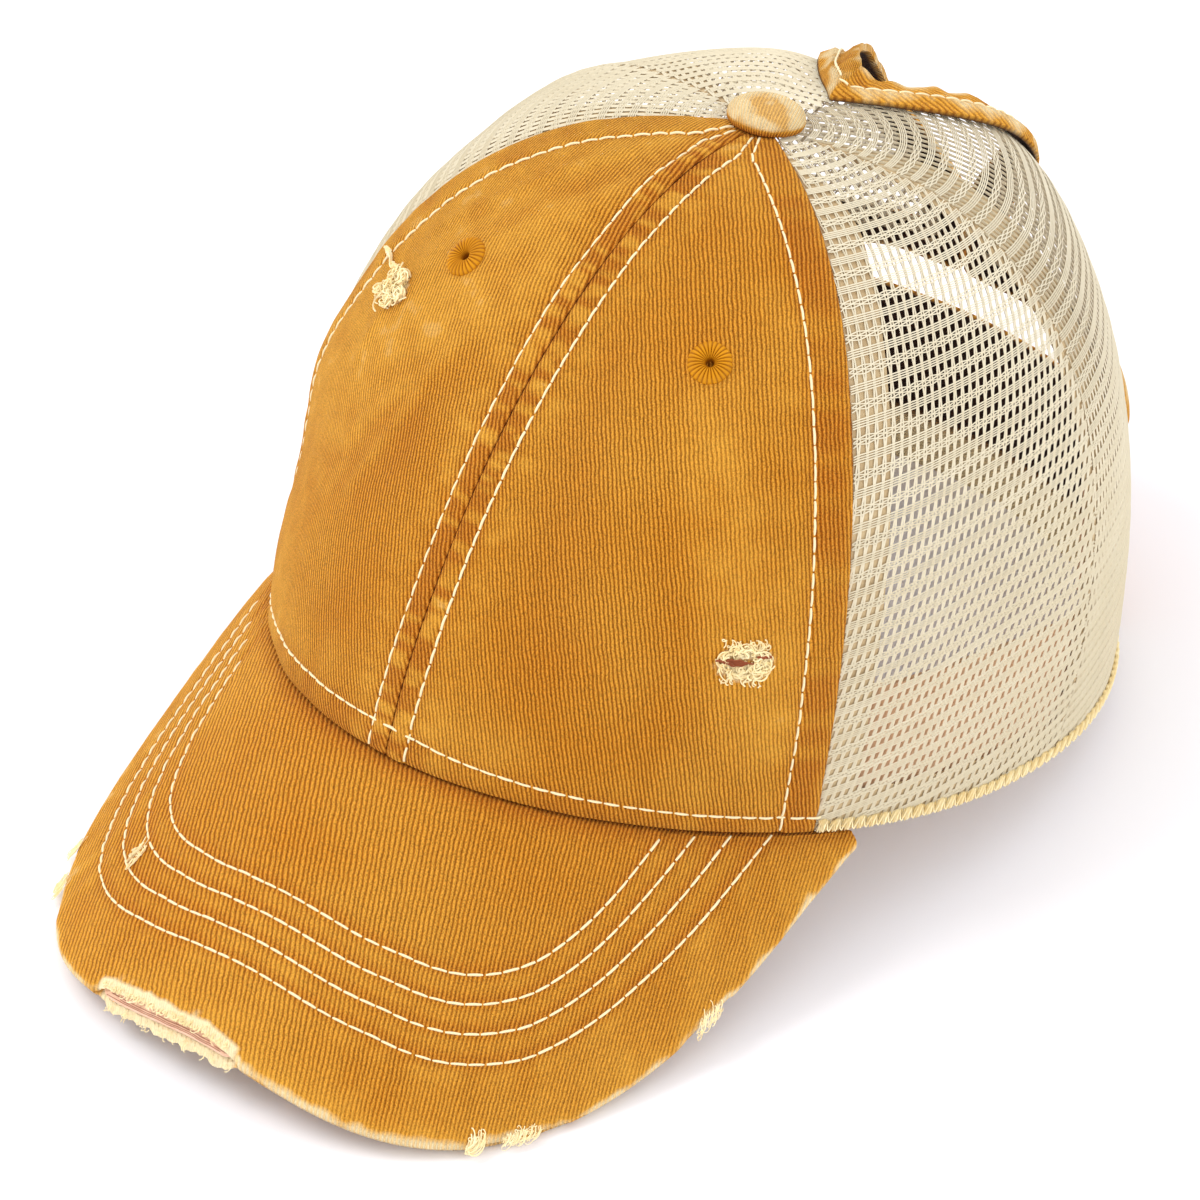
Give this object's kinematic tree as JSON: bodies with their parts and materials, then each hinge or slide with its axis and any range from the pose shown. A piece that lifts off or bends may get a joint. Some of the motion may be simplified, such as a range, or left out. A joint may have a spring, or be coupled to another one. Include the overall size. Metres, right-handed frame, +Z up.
{
  "type": "ponytail baseball cap",
  "caption": "Baseball cap with twill front panels, net sides and back, a curved peak, a sweatband, and a bound hole in the back for a ponytail over an arch and a closing strap.",
  "frame": {"origin": "middle of the cap's plan box, at the level of the surface that it rests on", "axes": "+Y towards the back of the head, so the peak points to -Y; +X towards the wearer's left; +Z up"},
  "size_m": [0.171, 0.261, 0.1401],
  "materials": {
    "twill": "washed mustard-orange cotton twill, matt, faded along its edges",
    "net": "cream polyester net with small D-shaped holes, slight sheen",
    "embroidery": "golden satin-stitched thread with a soft sheen",
    "board": "pale peach stiffener, matt, ragged where it shows",
    "sweatband": "soft orange cotton band, matt",
    "thread": "cream sewing thread, slight sheen",
    "frayed_thread": "pale yellow loose cotton threads, matt"
  },
  "bodies": {
    "root": {"front_panel_left": "twill", "front_panel_right": "twill", "side_panel_left": "net", "side_panel_right": "net", "rear_panel_left": "net", "rear_panel_right": "net", "top_button": "twill", "eyelet_left": "embroidery", "eyelet_right": "embroidery", "peak_upper_cloth": "twill", "peak_board": "board", "peak_under_cloth": "twill", "sweatband": "sweatband", "opening_binding": "twill", "closing_strap": "twill"}
  },
  "joints": []
}
